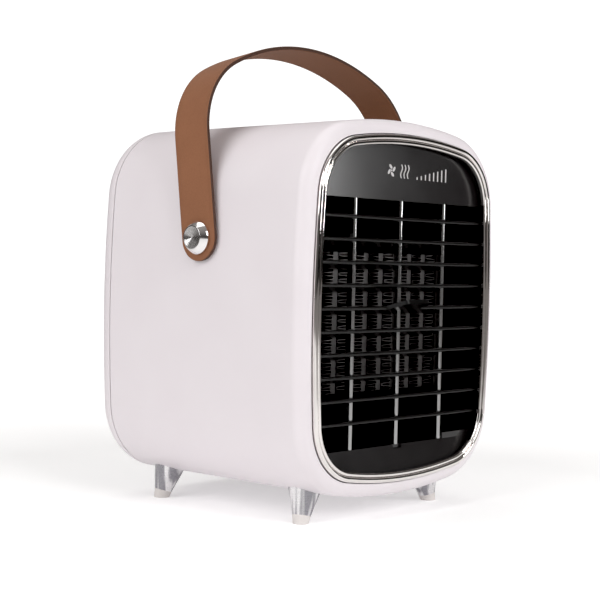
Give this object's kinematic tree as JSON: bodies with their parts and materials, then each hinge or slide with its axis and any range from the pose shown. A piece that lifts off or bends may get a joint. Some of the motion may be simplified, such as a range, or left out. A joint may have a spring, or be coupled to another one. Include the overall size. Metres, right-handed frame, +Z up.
{
  "type": "ceramic fan heater",
  "caption": "Small rounded box fan heater with tilting louvers, a ceramic heating core, a fan, a leather strap handle and splayed metal legs.",
  "frame": {"origin": "on the floor plane that the four feet stand on, under the middle of the object's width and depth", "axes": "+Z up, -Y towards the air outlet with the louvers, +X to the right seen from the front"},
  "size_m": [0.156, 0.1452, 0.2192],
  "materials": {
    "casing_white": "satin moulded plastic, warm white",
    "ring_chrome": "bright plated ring",
    "frame_black": "fine satin black",
    "louver_black": "semi gloss black",
    "rib_black": "polished black",
    "inner_plastic": "heat resistant, black",
    "fin_aluminium": "folded sheet",
    "heater_ceramic": "sealed ceramic strips",
    "terminal_brass": "blade terminals",
    "screw_steel": "zinc plated",
    "motor_steel": "drawn can",
    "impeller_plastic": "black",
    "strap_leather": "tan grained leather with dark sealed edges",
    "rivet_chrome": "faceted bright head",
    "washer_nylon": "plain",
    "leg_aluminium": "fine turned",
    "tip_rubber": "white, matt",
    "switch_black": "semi gloss",
    "gland_black": "fine"
  },
  "bodies": {
    "casing": {"baffle_screws": "screw_steel", "body_shell": "casing_white", "chrome_ring": "ring_chrome", "cord_gland": "gland_black", "core_screws": "screw_steel", "duct_baffle": "inner_plastic", "fan_duct": "inner_plastic", "fan_motor": "motor_steel", "foot_tip_front_left": "tip_rubber", "foot_tip_front_right": "tip_rubber", "foot_tip_rear_left": "tip_rubber", "foot_tip_rear_right": "tip_rubber", "front_frame": "frame_black", "front_frame_screws": "screw_steel", "gland_nut": "gland_black", "guard_ribs": "rib_black", "leg_front_left": "leg_aluminium", "leg_front_right": "leg_aluminium", "leg_rear_left": "leg_aluminium", "leg_rear_right": "leg_aluminium", "leg_screws": "screw_steel", "motor_screws": "screw_steel", "ptc_ceramics": "heater_ceramic", "ptc_fins": "fin_aluminium", "ptc_frame": "inner_plastic", "ptc_terminals": "terminal_brass", "rear_cover": "casing_white", "rear_cover_screws": "screw_steel", "rocker_housing": "switch_black", "strap_nuts": "screw_steel", "strap_rivet_left": "rivet_chrome", "strap_rivet_right": "rivet_chrome", "strap_washers": "washer_nylon", "terminal_block": "inner_plastic", "thermal_cutoff": "motor_steel", "thermal_fuse": "motor_steel", "tilt_switch": "inner_plastic"},
    "louver_01": {"louver_01": "louver_black"},
    "louver_02": {"louver_02": "louver_black"},
    "louver_03": {"louver_03": "louver_black"},
    "louver_04": {"louver_04": "louver_black"},
    "louver_05": {"louver_05": "louver_black"},
    "louver_06": {"louver_06": "louver_black"},
    "louver_07": {"louver_07": "louver_black"},
    "louver_08": {"louver_08": "louver_black"},
    "louver_09": {"louver_09": "louver_black"},
    "louver_10": {"louver_10": "louver_black"},
    "link_bar": {"link_bar": "louver_black"},
    "strap": {"strap": "strap_leather"},
    "rocker_key": {"rocker_key": "switch_black"},
    "fan": {"fan_impeller": "impeller_plastic", "motor_shaft": "screw_steel"}
  },
  "joints": [
    {"name": "louver_tilt_05", "type": "hinge", "parent": "casing", "child": "louver_05", "pos_m": [0, -0.0604, 0.09502], "axis": [1, 0, 0], "range_deg": [-12, 48]},
    {"name": "louver_tilt_01", "type": "hinge", "parent": "casing", "child": "louver_01", "pos_m": [0, -0.0604, 0.1355], "axis": [1, 0, 0], "range_deg": [-12, 48]},
    {"name": "louver_tilt_02", "type": "hinge", "parent": "casing", "child": "louver_02", "pos_m": [0, -0.0604, 0.12538], "axis": [1, 0, 0], "range_deg": [-12, 48]},
    {"name": "louver_tilt_03", "type": "hinge", "parent": "casing", "child": "louver_03", "pos_m": [0, -0.0604, 0.11526], "axis": [1, 0, 0], "range_deg": [-12, 48]},
    {"name": "louver_tilt_04", "type": "hinge", "parent": "casing", "child": "louver_04", "pos_m": [0, -0.0604, 0.10514], "axis": [1, 0, 0], "range_deg": [-12, 48]},
    {"name": "louver_tilt_06", "type": "hinge", "parent": "casing", "child": "louver_06", "pos_m": [0, -0.0604, 0.0849], "axis": [1, 0, 0], "range_deg": [-12, 48]},
    {"name": "louver_tilt_07", "type": "hinge", "parent": "casing", "child": "louver_07", "pos_m": [0, -0.0604, 0.07478], "axis": [1, 0, 0], "range_deg": [-12, 48]},
    {"name": "louver_tilt_08", "type": "hinge", "parent": "casing", "child": "louver_08", "pos_m": [0, -0.0604, 0.06466], "axis": [1, 0, 0], "range_deg": [-12, 48]},
    {"name": "louver_tilt_09", "type": "hinge", "parent": "casing", "child": "louver_09", "pos_m": [0, -0.0604, 0.05454], "axis": [1, 0, 0], "range_deg": [-12, 48]},
    {"name": "louver_tilt_10", "type": "hinge", "parent": "casing", "child": "louver_10", "pos_m": [0, -0.0604, 0.04442], "axis": [1, 0, 0], "range_deg": [-12, 48]},
    {"name": "link_bar_swing", "type": "hinge", "parent": "louver_05", "child": "link_bar", "pos_m": [0, -0.05641, 0.09372], "axis": [1, 0, 0], "range_deg": [-48, 12]},
    {"name": "strap_swing", "type": "hinge", "parent": "casing", "child": "strap", "pos_m": [0, -0.0039, 0.1254], "axis": [1, 0, 0], "range_deg": [-32, 47]},
    {"name": "rocker_tilt", "type": "hinge", "parent": "casing", "child": "rocker_key", "pos_m": [0, 0.0654, 0.1535], "axis": [1, 0, 0], "range_deg": [-12, 12]},
    {"name": "fan_spin", "type": "hinge", "parent": "casing", "child": "fan", "pos_m": [0, 0, 0.08875], "axis": [0, 1, 0], "continuous": true}
  ],
  "couplings": [
    {"joint": "louver_tilt_01", "follows": "louver_tilt_05", "ratio": 1},
    {"joint": "louver_tilt_02", "follows": "louver_tilt_05", "ratio": 1},
    {"joint": "louver_tilt_03", "follows": "louver_tilt_05", "ratio": 1},
    {"joint": "louver_tilt_04", "follows": "louver_tilt_05", "ratio": 1},
    {"joint": "louver_tilt_06", "follows": "louver_tilt_05", "ratio": 1},
    {"joint": "louver_tilt_07", "follows": "louver_tilt_05", "ratio": 1},
    {"joint": "louver_tilt_08", "follows": "louver_tilt_05", "ratio": 1},
    {"joint": "louver_tilt_09", "follows": "louver_tilt_05", "ratio": 1},
    {"joint": "louver_tilt_10", "follows": "louver_tilt_05", "ratio": 1},
    {"joint": "link_bar_swing", "follows": "louver_tilt_05", "ratio": -1}
  ]
}
